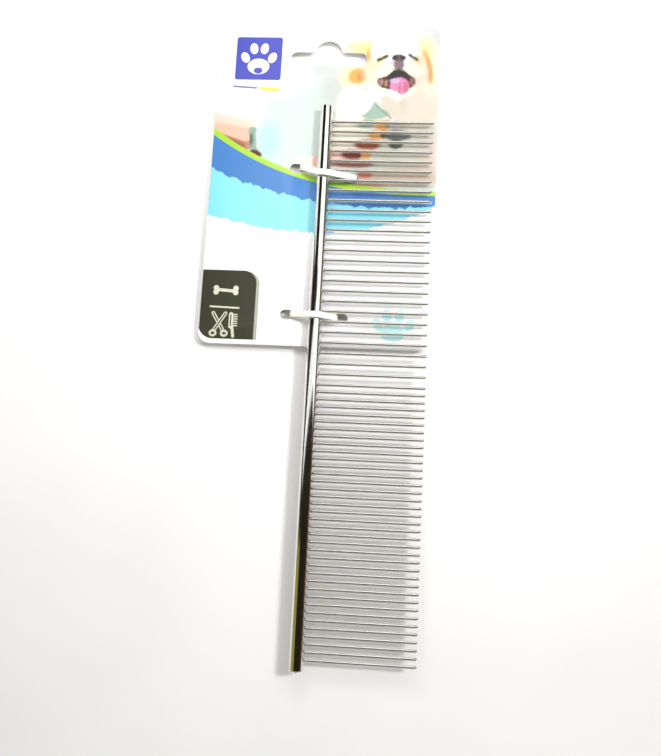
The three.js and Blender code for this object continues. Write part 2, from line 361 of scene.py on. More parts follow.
def plug_builder(node_name, outwards):
    """A plug with a dished face and a nub, which reaches as far as the CAD's plug does."""
    low, high = box_mm(node_name)
    radius = SPINE_RADIUS - SPINE_WALL + PLUG_FIT
    spine_end, tip = (spine_high.y, high.y) if outwards > 0 else (spine_low.y, low.y)
    reach = abs(tip - spine_end)

    def build(bm):
        profile = [(-PLUG_LENGTH, 0), (-PLUG_LENGTH, radius)]
        profile += [(-depth, radius * share) for depth, share in PLUG_DISH]
        profile += [(-NUB_FOOT[0], NUB_FOOT[1])]
        profile += [(reach - below, nub) for below, nub in NUB_CROWN]
        turn = Matrix.Rotation(outwards * math.pi / 2, 4, "Z")
        lathe(bm, profile, PLUG_SEGMENTS, Matrix.Translation((0, spine_end, 0)) @ turn)
    return build


def pin_profile():
    """Along a pin: its hidden root, the plating fillet at the spine, the shank, taper and tip."""
    surface = math.sqrt(SPINE_RADIUS**2 - PIN_RADIUS**2)
    profile = [(PIN_START_X, 0), (PIN_START_X, PIN_RADIUS)]
    profile += [(surface + out, radius) for out, radius in PIN_FILLET]
    taper_start = PIN_TIP_X - PIN_TAPER
    neck = PIN_TIP_X - PIN_NECK
    for t in np.linspace(0, 1, PIN_TAPER_POINTS):
        eased = t * t * (1.6 - 0.6 * t)
        radius = PIN_RADIUS + (PIN_NECK - PIN_RADIUS) * eased
        profile.append((taper_start + (neck - taper_start) * t, radius))
    for angle in np.radians(PIN_TIP_ANGLES):
        profile.append((neck + PIN_NECK * math.sin(angle), PIN_NECK * math.cos(angle)))
    return profile + [(PIN_TIP_X, 0)]


def pin_matrix(y):
    """A pin's place, with the slight lean that a pressed-in pin has."""
    lean = Matrix.Rotation(math.radians(dice.uniform(-PIN_LEAN, PIN_LEAN)), 4, "Z")
    rise = Matrix.Rotation(math.radians(dice.uniform(-PIN_RISE, PIN_RISE)), 4, "Y")
    return Matrix.Translation((0, y, 0)) @ lean @ rise


def build_comb():
    place = (SPINE_X, 0, SPINE_Z)
    add_piece("spine", to_mesh("spine", build_spine), place, "comb", [spine_chrome],
              ["spine_tube"])
    for end, outwards in (("upper", 1), ("lower", -1)):
        mesh = to_mesh(f"plug_{end}", plug_builder(f"end_plug_{end}", outwards))
        add_piece(f"plug_{end}", mesh, place, "comb", [plug_metal], [f"end_plug_{end}"])
    build_pins()


def build_pins():
    profile = pin_profile()
    for number in range(1, COARSE_PINS + 1):
        cad = f"coarse_pin_{number:02d}"
        matrix = pin_matrix(0)
        mesh = to_mesh(cad, lambda bm: lathe(bm, profile, PIN_SEGMENTS, matrix))
        place = (SPINE_X, coarse_y(number), SPINE_Z)
        add_piece(f"pin_{number:02d}", mesh, place, "comb", [pin_chrome], [cad])
    for pair in range(1, FINE_PAIRS + 1):
        cad = f"fine_pin_pair_{pair:02d}"
        low, high = box_mm(cad)
        matrices = [pin_matrix(FINE_PITCH / 2), pin_matrix(-FINE_PITCH / 2)]

        def build(bm):
            for matrix in matrices:
                lathe(bm, profile, PIN_SEGMENTS, matrix)
        place = (SPINE_X, (low.y + high.y) / 2, SPINE_Z)
        add_piece(f"fine_pins_{pair:02d}", to_mesh(cad, build), place, "comb",
                  [pin_chrome], [cad])


# ---------------------------------------------------------------- the card's print

INK_STRENGTH = 0.6  # inks are named by their look under the studio's strong light
PAPER_WHITE = 0.84
PAPER_POWER = 16  # how suddenly an ink turns into bare paper as it gets paler
TEAR = 1  # more than a torn band's edge can move up
FUR = 0.6  # how far the puppy's fur pattern can move the edge of a layer


def ink(red, green, blue):
    """The albedo that looks like an sRGB colour once lit; only bare paper reaches white."""
    def one(value):
        return value * (INK_STRENGTH + (PAPER_WHITE - INK_STRENGTH) * value**PAPER_POWER)
    return tuple(one(c) for c in linear(red, green, blue)[:3]) + (1.0,)


class Print:
    """Layers of ink over one region of the card, in millimetres from the spine's axis and the
    first pin. A layer that doesn't reach the region is left out of its material."""

    def __init__(self, tree, where, paper, region):
        self.tree = tree
        self.where = where
        self.colour = paper
        self.region = region

    def reaches(self, centre, half, turn=0):
        """True if a turned box comes within the region (left, right, bottom, top)."""
        cos, sin = abs(math.cos(math.radians(turn))), abs(math.sin(math.radians(turn)))
        x = half[0] * cos + half[1] * sin + FUR
        y = half[0] * sin + half[1] * cos + FUR
        left, right, bottom, top = self.region
        return (left - x < centre[0] < right + x) and (bottom - y < centre[1] < top + y)

    def local(self, centre, half, turn):
        """Coordinates that run from -1 to 1 over a turned box."""
        inputs = {
            "Vector": self.where,
            "Location": (centre[0], centre[1], 0),
            "Rotation": (0, 0, math.radians(turn)),
            "Scale": (half[0], half[1], 1),
        }
        return node(self.tree, "Mapping", inputs, vector_type="TEXTURE")

    def blob(self, centre, half, colour, soft=0.25, turn=0, strength=1.0):
        """A soft-edged ellipse."""
        if not self.reaches(centre, [h * (1 + soft) for h in half], turn):
            return
        length = vector_maths(self.tree, "LENGTH", self.local(centre, half, turn), out=1)
        mask = map_range(self.tree, length, 1 + soft, 1 - soft, 0.0, strength, smooth=True)
        self.layer(mask, colour)

    def box_mask(self, centre, half, corner, turn=0, soft=0.08):
        """A rounded box; half is measured to its straight sides."""
        tree = self.tree
        place = vector_maths(tree, "ABSOLUTE", self.local(centre, (1, 1), turn))
        inner = (half[0] - corner, half[1] - corner, 0)
        beyond = vector_maths(tree, "SUBTRACT", place, inner)
        beyond = vector_maths(tree, "MAXIMUM", beyond, (0, 0, 0))
        length = vector_maths(tree, "LENGTH", beyond, out=1)
        return map_range(tree, length, corner + soft, corner - soft, smooth=True)

    def box(self, centre, half, corner, colour, turn=0, soft=0.08):
        if self.reaches(centre, [h + soft for h in half], turn):
            self.layer(self.box_mask(centre, half, corner, turn, soft), colour)

    def stroke(self, start, end, radius, colour, soft=0.08):
        """A line with round ends."""
        (x0, y0), (x1, y1) = start, end
        centre = ((x0 + x1) / 2, (y0 + y1) / 2)
        half = (math.hypot(x1 - x0, y1 - y0) / 2 + radius, radius)
        turn = math.degrees(math.atan2(y1 - y0, x1 - x0))
        self.box(centre, half, radius, colour, turn, soft)

    def below(self, points, colour, soft=0.1, torn=None):
        """Everything below the cubic that fits the points; torn is a noise that roughens it."""
        tree = self.tree
        xs, ys = zip(*points)
        bottom = self.region[2]
        if bottom > max(ys) + TEAR:
            return
        d, c, b, a = np.polyfit(xs, ys, 3)
        split = tree.nodes.new("ShaderNodeSeparateXYZ")
        tree.links.new(self.where, split.inputs[0])
        x, y = split.outputs[0], split.outputs[1]
        curve = maths(tree, "MULTIPLY_ADD", x, float(d), float(c))
        curve = maths(tree, "MULTIPLY_ADD", curve, x, float(b))
        curve = maths(tree, "MULTIPLY_ADD", curve, x, float(a))
        gap = maths(tree, "SUBTRACT", y, curve)
        if torn is not None:
            gap = maths(tree, "ADD", gap, torn)
        self.layer(map_range(tree, gap, soft, -soft, smooth=True), colour)

    def layer(self, mask, colour):
        self.colour = mix_colour(self.tree, mask, self.colour, colour)


WHITE = ink(255, 255, 255)
OFF_WHITE = ink(254, 252, 246)
CREAM = ink(253, 248, 236)
PALE_YELLOW = ink(255, 250, 190)
ORANGE = ink(246, 190, 100)
GOLD = ink(216, 152, 62)
DARK_GOLD = ink(170, 128, 66)
PEACH = ink(250, 216, 190)
TAN = ink(214, 158, 126)
SAGE = ink(168, 197, 178)
DARK_SAGE = ink(118, 128, 112)
RUST = ink(178, 92, 66)
DARK_RUST = ink(146, 68, 54)
ROSE = ink(226, 138, 122)
BEIGE = ink(236, 226, 208)
LIME = ink(196, 240, 70)
BLUE = ink(84, 150, 226)
CYAN = ink(158, 246, 252)
LOGO_BLUE = ink(94, 100, 212)
YELLOW = ink(255, 244, 96)
TAG = ink(66, 68, 48)
TAG_BORDER = ink(206, 207, 188)


def paint_backdrop(art):
    """Pale room behind the puppy."""
    art.blob((-26, 36), (30, 20), WHITE, soft=0.45)
    art.blob((-38, 10), (12, 16), WHITE, soft=0.6)
    art.blob((6, 37), (20, 5), WHITE, soft=0.6)
    art.blob((26, 37), (28, 5.5), ink(238, 239, 237), soft=0.5)
    art.blob((40, 30), (4.5, 11), ink(226, 228, 229), soft=0.6)
    art.blob((39, 5), (3, 16), ink(238, 240, 238), soft=0.6)
    art.blob((4, 13), (7, 9), ink(220, 228, 222), soft=0.6)
    art.blob((-2, 21), (9, 3), ink(232, 236, 234), soft=0.6)
    art.blob((-13, 18), (6, 5), ink(240, 250, 248), soft=0.6)
    art.blob((-20, -6), (4, 6), ink(206, 250, 250), soft=0.6)


def paint_puppy(art):
    """A laughing puppy with gold ears."""
    art.blob((11.8, 29.6), (6.4, 3.0), PALE_YELLOW, soft=0.5)
    art.blob((12.2, 29.2), (3.0, 1.6), ink(255, 246, 160), soft=0.9)
    art.blob((15.0, 25.4), (2.3, 4.4), ORANGE, soft=0.4, turn=10)
    art.blob((8.4, 19.0), (4.4, 4.4), ink(255, 246, 206), soft=0.5)
    art.blob((10.3, 18.9), (3.7, 2.9), ORANGE, soft=0.3, turn=24)
    art.blob((11.9, 19.2), (1.6, 2.3), GOLD, soft=0.5, turn=-40)
    art.blob((30, 8), (11, 9), BEIGE, soft=0.4)
    art.blob((36, 22), (4, 9), ink(252, 248, 226), soft=0.4)
    art.blob((33.6, 29.8), (3.2, 3.8), PALE_YELLOW, soft=0.5)
    art.blob((34.2, 23.2), (2.2, 6.8), ORANGE, soft=0.3, turn=14)
    art.blob((34.8, 22.0), (1.1, 5.2), GOLD, soft=0.5, turn=14)
    art.blob((23.8, 20.6), (10.6, 9.6), ink(253, 249, 238), soft=0.12)
    art.blob((23.4, 27.6), (8.8, 7.0), WHITE, soft=0.12)
    art.blob((16.4, 20.6), (4.2, 4.0), ink(254, 243, 212), soft=0.7, turn=30)
    art.blob((17.2, 24.2), (2.2, 3.0), PALE_YELLOW, soft=0.8, strength=0.6)
    art.blob((31.6, 19.0), (3.4, 6.0), ink(243, 224, 204), soft=0.6)
    art.blob((31.8, 25.4), (1.8, 3.2), ink(250, 232, 196), soft=0.7)
    art.blob((23.4, 7.6), (4.6, 3.6), ink(224, 216, 198), soft=0.6)
    art.blob((8.6, 7.2), (5.0, 7.4), OFF_WHITE, soft=0.3)
    for side, x in ((1, 18.6), (-1, 29.7)):
        art.blob((x, 25.7), (2.6, 1.5), ink(200, 192, 160), soft=0.8, turn=26 * side, strength=0.7)
    art.stroke((17.2, 25.0), (20.2, 26.6), 0.5, ink(84, 84, 62), soft=0.3)
    art.stroke((28.2, 27.2), (31.0, 25.4), 0.5, ink(84, 82, 66), soft=0.3)
    art.blob((22.3, 22.9), (1.7, 2.7), ink(238, 220, 230), soft=0.6)
    art.blob((24.7, 23.5), (1.9, 2.6), ink(140, 112, 116), soft=0.35)
    art.blob((24.5, 26.0), (2.5, 1.35), ink(104, 90, 90), soft=0.2)
    for x in (23.2, 25.8):
        art.blob((x, 26.1), (0.95, 0.75), ink(50, 44, 44), soft=0.35)
    art.blob((23.9, 16.9), (6.8, 3.5), ink(84, 50, 44), soft=0.1)
    art.blob((18.6, 16.6), (0.8, 1.3), ink(176, 130, 136), soft=0.4)
    art.blob((20.3, 16.2), (0.6, 1.2), ink(190, 140, 110), soft=0.5)
    art.blob((29.3, 17.0), (0.7, 1.5), ink(150, 96, 98), soft=0.4)
    art.blob((24.7, 18.9), (3.8, 2.8), ink(34, 30, 24), soft=0.2)
    art.blob((19.0, 20.9), (3.9, 2.3), ink(253, 247, 232), soft=0.1, turn=27)
    art.blob((30.0, 21.5), (3.3, 2.2), ink(250, 240, 226), soft=0.1, turn=-20)
    art.blob((25.1, 15.2), (3.4, 3.3), ink(233, 146, 190), soft=0.12)
    art.blob((23.5, 17.2), (1.9, 0.9), ink(222, 186, 226), soft=0.4)
    art.blob((27.3, 14.8), (1.0, 2.3), ink(222, 112, 152), soft=0.4)
    art.blob((25.2, 14.4), (0.35, 2.0), ink(206, 110, 150), soft=0.7)
    art.blob((19.6, 11.4), (6.4, 2.8), CREAM, soft=0.12, turn=-6)
    art.blob((16.4, 4.6), (5.2, 2.0), SAGE, soft=0.15)
    art.blob((15.6, 6.8), (2.6, 2.4), SAGE, soft=0.15)
    art.blob((12.2, 8.4), (3.4, 5.0), OFF_WHITE, soft=0.15, turn=-32)
    art.blob((22.4, 8.2), (4.4, 2.2), ink(232, 222, 204), soft=0.15, turn=-40)
    art.stroke((17.4, 7.6), (22.4, 3.2), 0.28, ink(140, 156, 140), soft=0.4)


def paint_coat(art):
    """The puppy's dressed body, behind the pins."""
    art.blob((7, -4), (8, 7), ink(250, 249, 242), soft=0.4)
    art.blob((30, -9), (13, 12), ink(227, 228, 212), soft=0.3)
    art.blob((37, -13), (4.5, 8), ink(240, 226, 214), soft=0.6)
    art.blob((27, -19), (15, 3.6), ink(226, 208, 188), soft=0.4)
    art.blob((13.4, 1.0), (4.4, 1.8), ink(170, 186, 172), soft=0.4)
    art.blob((19.8, 0.4), (2.7, 2.2), ORANGE, soft=0.3)
    art.blob((21.6, 0.8), (1.0, 1.5), DARK_GOLD, soft=0.5)
    art.blob((25.4, 0.3), (3.3, 1.9), ink(192, 186, 198), soft=0.35)
    art.blob((34.0, 2.4), (1.6, 2.0), ink(250, 204, 120), soft=0.4)
    art.blob((17.6, -3.3), (2.6, 2.0), ORANGE, soft=0.3)
    art.blob((25.0, -3.2), (5.0, 2.1), ink(112, 120, 114), soft=0.25)
    art.blob((20.1, -3.0), (1.1, 1.6), ink(138, 78, 42), soft=0.5)
    art.blob((24.6, -6.6), (2.6, 1.8), ink(84, 94, 78), soft=0.3)
    art.blob((14.6, -7.0), (4.6, 2.0), RUST, soft=0.3)
    art.blob((5.6, -12.0), (6.5, 3.4), ink(250, 224, 210), soft=0.4)
    art.blob((9.6, -10.8), (4.0, 2.0), DARK_RUST, soft=0.35)
    art.blob((14.4, -10.6), (1.8, 2.0), ORANGE, soft=0.35)
    art.blob((10.0, -14.2), (7.4, 1.6), ink(188, 128, 112), soft=0.3)
    art.blob((14.3, -18.0), (2.6, 1.7), ROSE, soft=0.35)
    art.blob((8.4, -20.4), (4.2, 1.6), DARK_SAGE, soft=0.5)
    art.blob((15.6, -21.6), (6.0, 2.0), ink(226, 186, 162), soft=0.4)
    art.blob((-5.6, -15.0), (5.0, 3.2), ink(255, 252, 238), soft=0.2)
    art.blob((-3.0, -13.6), (1.4, 2.2), ink(250, 212, 202), soft=0.5)


def paint_brush(art):
    """A plain grooming brush with a peach handle, at the card's left edge."""
    art.stroke((-44, -2.0), (-28.6, -6.4), 3.6, TAN, soft=0.5)
    art.stroke((-44, 1.6), (-28.4, -3.4), 3.2, PEACH, soft=0.35)
    art.stroke((-44, 3.0), (-27.0, 0.0), 1.7, ink(254, 240, 224), soft=0.8)
    art.stroke((-38, -4.6), (-29.4, -8.2), 0.8, ink(176, 112, 78), soft=0.9)
    art.stroke((-26.2, -2.6), (-25.0, -9.4), 1.5, SAGE, soft=0.25)
    art.stroke((-24.6, -3.4), (-23.9, -9.2), 0.5, ink(226, 240, 232), soft=0.3)
    art.blob((-26.4, -6.0), (0.6, 2.4), DARK_SAGE, soft=0.5)
    art.blob((-24.6, -11.2), (2.4, 1.3), ink(120, 62, 44), soft=0.35, turn=-18)


def paint_bands(art, torn):
    """The curved stripe, the two torn bands and the white lower half."""
    lime_top = [(-39.2, -2.1), (-29.8, -8.8), (-19.6, -13.9), (-9.6, -17.3), (3.3, -20.8),
                (20.0, -22.9), (37.8, -23.6)]
    blue_top = [(-39.2, -4.8), (-29.6, -11.3), (-19.5, -15.9), (-9.5, -19.3), (3.5, -23.0),
                (24.0, -25.1), (37.8, -25.4)]
    blue_bottom = [(-39.3, -16.8), (-29.6, -21.3), (-21.6, -23.7), (-15.0, -25.4), (-2.5, -28.3),
                   (15.0, -29.7), (37.9, -29.3)]
    cyan_bottom = [(-39.3, -34.2), (-31.2, -36.7), (-21.4, -37.7), (-11.6, -39.3), (-2.2, -39.7),
                   (15.0, -38.0), (38.0, -30.0)]
    art.below(lime_top, LIME)
    art.below(blue_top, BLUE)
    art.below(blue_bottom, CYAN, torn=torn)
    art.below(cyan_bottom, WHITE, torn=torn)


def paint_logo(art):
    """A plain blue square with a white paw, over two bars that stand for a line of words."""
    art.box((-24.7, 21.9), (9.7, 12.4), 0.4, WHITE, soft=0.3)
    art.box((-25.7, 25.1), (8.3, 8.3), 0.9, LOGO_BLUE)
    art.blob((-25.7, 22.0), (3.9, 3.0), WHITE, soft=0.05)
    art.blob((-25.7, 20.4), (1.6, 1.2), LOGO_BLUE, soft=0.1)
    for x, y, turn in ((-30.6, 25.4, 24), (-27.6, 28.9, 8), (-23.8, 28.9, -8), (-20.8, 25.4, -24)):
        art.blob((x, y), (1.45, 2.1), WHITE, soft=0.06, turn=turn)
    art.stroke((-34.0, 14.2), (-26.0, 13.7), 0.4, ink(150, 146, 190), soft=0.15)
    art.stroke((-24.2, 13.5), (-18.2, 13.1), 0.7, YELLOW, soft=0.3)


def paint_tag(art):
    """The dark tag at the lower left, with a bone, a line, scissors and a comb in white."""
    if not art.reaches((-36.0, -72.0), (16.0, 18.0)):
        return
    page = art.box_mask((-0.5, -17.6), (39.7, 60.6), 5.0)
    for shift, colour in ((1.1, TAG_BORDER), (0, TAG)):
        mask = art.box_mask((-36.0 + shift, -72.0 - shift / 4), (14.9, 18.0), 4.6)
        art.layer(maths(art.tree, "MULTIPLY", mask, page), colour)
    chalk = ink(244, 244, 226)
    art.stroke((-34.6, -61.0), (-28.4, -61.4), 0.55, chalk)
    for x in (-34.9, -28.1):
        for y in (-60.4, -61.9):
            art.blob((x, y), (0.95, 0.95), chalk, soft=0.1)
    art.stroke((-36.5, -67.0), (-26.7, -67.3), 0.3, chalk)
    for tip, ring in (((-35.3, -69.3), (-31.6, -75.4)), ((-31.1, -69.3), (-34.8, -75.3))):
        art.stroke(tip, ring, 0.62, chalk)
        art.stroke(tip, ring, 0.22, TAG)
    for x in (-35.1, -31.2):
        art.blob((x, -76.3), (1.35, 1.2), chalk, soft=0.08)
        art.blob((x, -76.3), (0.62, 0.5), TAG, soft=0.15)
    art.stroke((-29.1, -69.6), (-29.1, -73.8), 0.75, chalk)
    art.stroke((-28.6, -74.0), (-28.1, -77.2), 0.5, chalk)
    art.stroke((-29.2, -69.8), (-29.2, -73.6), 0.2, TAG)
    for k in range(6):
        y = -69.6 - 0.78 * k
        art.stroke((-28.4, y), (-27.0, y - 0.05), 0.2, chalk)


def paint_paw(art):
    """The pale cyan paw under the coarse pins."""
    pale_cyan = ink(226, 252, 252)
    art.blob((26.0, -74.2), (4.2, 3.0), pale_cyan, soft=0.12)
    for x, y, turn in ((20.9, -71.4, 30), (24.0, -68.2, 10), (28.2, -68.2, -10), (31.6, -71.4, -30)):
        art.blob((x, y), (1.6, 2.3), pale_cyan, soft=0.12, turn=turn)


def card_front(region):
    """Glossy printed board, with the part of the print that reaches one region."""
    def build(tree, shader):
        where = object_mm(tree)
        flat = vector_maths(tree, "MULTIPLY", where, (1, 1, 0))
        strand = noise(tree, flat, 1.5, 4.0, 0.6, out=1)
        drift = vector_maths(tree, "SUBTRACT", strand, (0.5, 0.5, 0.5))
        furry = vector_maths(tree, "MULTIPLY_ADD", drift, (1.1, 1.1, 0), flat)

        art = Print(tree, flat, ink(229, 241, 236), region)
        paint_backdrop(art)
        art.where = furry
        paint_coat(art)
        paint_puppy(art)
        art.where = flat
        paint_brush(art)
        steps = noise(tree, stretched(tree, flat, (0.34, 0.12, 1)), 1.0, 4.0, 0.62)
        torn = map_range(tree, steps, 0.3, 0.7, -0.9, 0.9)
        paint_bands(art, torn)
        paint_logo(art)
        paint_tag(art)
        paint_paw(art)

        fibre = noise(tree, where, 2.6, 3.0, 0.6)
        shade = map_range(tree, fibre, 0.3, 0.7, 0.975, 1.0)
        grey = node(tree, "CombineColor", {0: shade, 1: shade, 2: shade})
        colour = mix_colour(tree, 1.0, art.colour, grey, blend="MULTIPLY")
        scuffs = noise(tree, stretched(tree, flat, (0.9, 2.2, 1)), 1.0, 5.0, 0.75)
        scuff = map_range(tree, scuffs, 0.66, 0.72)
        feed(tree, shader.inputs["Base Color"], colour)
        feed(tree, shader.inputs["Roughness"], map_range(tree, scuff, 0.0, 1.0, 0.34, 0.5))
        shader.inputs["Coat Weight"].default_value = 0.25
        shader.inputs["Coat Roughness"].default_value = 0.12
        waves = noise(tree, where, 0.05, 2.0, 0.4)
        height = maths(tree, "MULTIPLY_ADD", waves, 8.0, fibre)
        bump(tree, shader, height, 0.12, 0.05)
    return build


def card_back(tree, shader):
    """Bare grey-white pulp board with a few flecks."""
    where = object_mm(tree)
    pulp = noise(tree, where, 1.7, 5.0, 0.7)
    clouds = noise(tree, where, 0.06, 3.0, 0.5)
    flecks = map_range(tree, noise(tree, where, 5.0, 1.0, 0.5), 0.73, 0.76)
    colour = mix_colour(tree, map_range(tree, pulp, 0.3, 0.7), linear(226, 225, 220),
                        linear(236, 235, 231))
    colour = mix_colour(tree, map_range(tree, clouds, 0.4, 0.7, 0.0, 0.35), colour,
                        linear(216, 214, 207))
    colour = mix_colour(tree, maths(tree, "MULTIPLY", flecks, 0.4), colour, linear(176, 170, 158))
    feed(tree, shader.inputs["Base Color"], colour)
    feed(tree, shader.inputs["Roughness"], map_range(tree, pulp, 0.3, 0.7, 0.72, 0.9))
    bump(tree, shader, pulp, 0.35, 0.03)


def card_core(tree, shader):
    """The cut edge: pressed layers of white board."""
    where = object_mm(tree)
    layers = noise(tree, stretched(tree, where, (0.7, 0.7, 9)), 1.0, 3.0, 0.6)
    colour = mix_colour(tree, map_range(tree, layers, 0.35, 0.7), linear(243, 242, 238),
                        linear(214, 211, 202))
    feed(tree, shader.inputs["Base Color"], colour)
    shader.inputs["Roughness"].default_value = 0.85
    bump(tree, shader, layers, 0.4, 0.05)


# ---------------------------------------------------------------- the card's board

BACK, CORE, FRONT = 0, 1, 2  # material indices; the front's regions follow FRONT
FRONT_COLUMNS = (-60, -14.9, 60)  # borders of the print's regions, measured as the print is
FRONT_ROWS = (-120, -46, 2.4, 60)
REGIONS = [
    (left, right, bottom, top)
    for left, right in zip(FRONT_COLUMNS, FRONT_COLUMNS[1:])
    for bottom, top in zip(FRONT_ROWS, FRONT_ROWS[1:])
]


def tie_hole(centre, stretch, radius):
    """A circle stretched along X by stretch."""
    left, right = sorted((centre[0], centre[0] + stretch))
    right_half = arc((right, centre[1]), radius, -90, 90, ARC_POINTS)
    left_half = arc((left, centre[1]), radius, 90, 270, ARC_POINTS)
    return right_half + (left_half if stretch else left_half[1:-1])


def card_loops(inset):
    """The card's outline, slot and tie holes, each shrunk into the board by inset."""
    x, y, corner = CARD_HALF.x - inset, CARD_HALF.y - inset, CARD_CORNER - inset
    outline = []
    for sx, sy, start in CORNERS:
        centre = (sx * (x - corner), sy * (y - corner))
        outline += arc(centre, corner, start, start + 90, ARC_POINTS)
    loops = [outline]

    slot_y = CARD_HALF.y - SLOT_BELOW_TOP
    end = SLOT_HALF_HEIGHT + inset
    reach = SLOT_HALF_LENGTH - SLOT_HALF_HEIGHT
    bump_radius = SLOT_BUMP_RADIUS + inset
    lift = math.degrees(math.asin((end - SLOT_BUMP_RISE) / bump_radius))
    slot = arc((0, slot_y + SLOT_BUMP_RISE), bump_radius, lift, 180 - lift, 2 * ARC_POINTS)
    slot += arc((-reach, slot_y), end, 90, 270, ARC_POINTS)
    slot += arc((reach, slot_y), end, -90, 90, ARC_POINTS)
    loops.append(slot)

    for tie, sizes in TIES.items():
        for hole_x, shift, stretch in zip(sizes["holes"], sizes["shift"], sizes["stretch"]):
            centre = (SPINE_X + hole_x - CARD_CENTRE.x, crossing_y(tie) + shift - CARD_CENTRE.y)
            loops.append(tie_hole(centre, stretch, TIE_HOLE_RADIUS + inset))
    return loops


def fill(bm, loops, material):
    """Fills an outline round its holes and gives the faces a material."""
    edges = [bm.edges.get(ends) for loop in loops for ends in zip(loop, loop[1:] + loop[:1])]
    filled = bmesh.ops.triangle_fill(bm, use_beauty=True, use_dissolve=False, edges=edges)
    for face in filled["geom"]:
        if isinstance(face, bmesh.types.BMFace):
            face.material_index = material


def build_card(bm):
    """A board whose origin is where the print is measured from, on its front face."""
    origin = Vector((SPINE_X, FIRST_PIN_Y, card_high.z))
    centre = Vector((CARD_CENTRE.x, CARD_CENTRE.y, 0))
    low, high = card_low.z, card_high.z
    bevel = CARD_EDGE * 0.3  # where a rounded edge is half way round
    levels = [(low, CARD_EDGE), (low + bevel, bevel), (low + CARD_EDGE, 0),
              (high - CARD_EDGE, 0), (high - bevel, bevel), (high, CARD_EDGE)]
    layers = [
        [[bm.verts.new(Vector((x, y, z)) + centre - origin) for x, y in loop]
         for loop in card_loops(inset)]
        for z, inset in levels
    ]
    for walls in zip(*layers):
        bridge(bm, walls)
    fill(bm, layers[0], BACK)
    fill(bm, layers[-1], FRONT)
    for face in bm.faces:
        face.normal_update()
        if abs(face.normal.z) < 0.9:
            face.material_index = CORE
    cut_front(bm)


def cut_front(bm):
    """Cuts the printed face along the borders of its regions and gives each its material."""
    for across, places in ((Vector((1, 0, 0)), FRONT_COLUMNS), (Vector((0, 1, 0)), FRONT_ROWS)):
        for place in places[1:-1]:
            faces = [f for f in bm.faces if f.material_index == FRONT]
            parts = faces + list({e for f in faces for e in f.edges})
            parts += list({v for f in faces for v in f.verts})
            bmesh.ops.bisect_plane(bm, geom=parts, plane_co=across * place, plane_no=across)
    for face in bm.faces:
        if face.material_index == FRONT:
            middle = face.calc_center_median()
            face.material_index = FRONT + next(
                k for k, (left, right, bottom, top) in enumerate(REGIONS)
                if left <= middle.x <= right and bottom <= middle.y <= top
            )


def build_hang_card():
    materials = [new_material("card_back", card_back), new_material("card_core", card_core)]
    for number, region in enumerate(REGIONS, 1):
        materials.append(new_material(f"card_print_{number}", card_front(region)))
    place = (SPINE_X, FIRST_PIN_Y, card_high.z)
    add_piece("card", to_mesh("card", build_card), place, "card", materials, ["hang_card"])


# ---------------------------------------------------------------- ties


def nylon(tree, shader):
    """Milky nylon with faint lines of flow."""
    where = object_mm(tree)
    flow = noise(tree, stretched(tree, where, (0.5, 1.6, 1.0)), 1.0, 3.0, 0.55)
    grain = noise(tree, where, 5.0, 3.0, 0.6)
    colour = mix_colour(tree, map_range(tree, flow, 0.35, 0.7), linear(246, 243, 232),
                        linear(236, 231, 216))
    feed(tree, shader.inputs["Base Color"], colour)
    feed(tree, shader.inputs["Roughness"], map_range(tree, grain, 0.3, 0.7, 0.3, 0.46))
    shader.inputs["Subsurface Weight"].default_value = 0.35
    shader.inputs["Subsurface Radius"].default_value = (1.0, 0.85, 0.6)
    shader.inputs["Subsurface Scale"].default_value = 0.7 * MM
    shader.inputs["Coat Weight"].default_value = 0.15
    bump(tree, shader, grain, 0.12, 0.03)


def strap_line(left_x, right_x):
    """The middle line of a strap as a closed loop of (x from the spine's axis, z)."""
    radius = SPINE_RADIUS + STRAP_TO_SPINE + STRAP_THICKNESS / 2
    top_z = card_high.z + STRAP_OVER_CARD
    back_z = card_low.z - CARD_TO_STRAP - STRAP_THICKNESS / 2
    drop = SPINE_Z - top_z

    def leave(x):
        return math.atan2(x, -drop) - math.acos(radius / math.hypot(x, drop))

    right, left = math.degrees(leave(right_x)), math.degrees(leave(-left_x))
    line = [Vector(p) for p in arc((0, SPINE_Z), radius, 90 + left, 90 - right,
                                   STRAP_WRAP_POINTS)]
    corners = [(right_x, top_z), (right_x, back_z), (left_x, back_z), (left_x, top_z)]
    corners = [Vector(c) for c in corners]
    steps = np.linspace(1 / STRAP_STEPS, 1, STRAP_STEPS)
    for corner, towards in zip(corners, corners[1:] + [line[0]]):
        into = corner + (line[-1] - corner).normalized() * STRAP_BEND
        out = corner + (towards - corner).normalized() * STRAP_BEND
        start = line[-1]
        line += [start.lerp(into, t) for t in steps]
        for t in steps:
            line.append(into.lerp(corner, t).lerp(corner.lerp(out, t), t))
    end = line[-1]
    line += [end.lerp(line[0], t) for t in steps[:-1]]
    return line


def strap_drift(tie, x, z):
    """How far a strap has moved along Y on its way from the spine to its left hole."""
    left_x, right_x = tie["strap"]
    shift = tie["shift"][0]
    if z < card_low.z:
        return shift * (x - right_x) / (left_x - right_x)
    drifted = (-x - DRIFT_START) / (-left_x - DRIFT_END_GAP - DRIFT_START)
    return shift * min(max(drifted, 0), 1)


def strap_section():
    """A flat band's section with rounded edges, as (across the width, through the thickness)."""
    x, y = STRAP_WIDTH / 2 - STRAP_ROUNDING, STRAP_THICKNESS / 2 - STRAP_ROUNDING
    points = []
    for sx, sy, start in CORNERS:
        points += arc((sx * x, sy * y), STRAP_ROUNDING, start, start + 90,
                      STRAP_CORNER_POINTS)
    return points


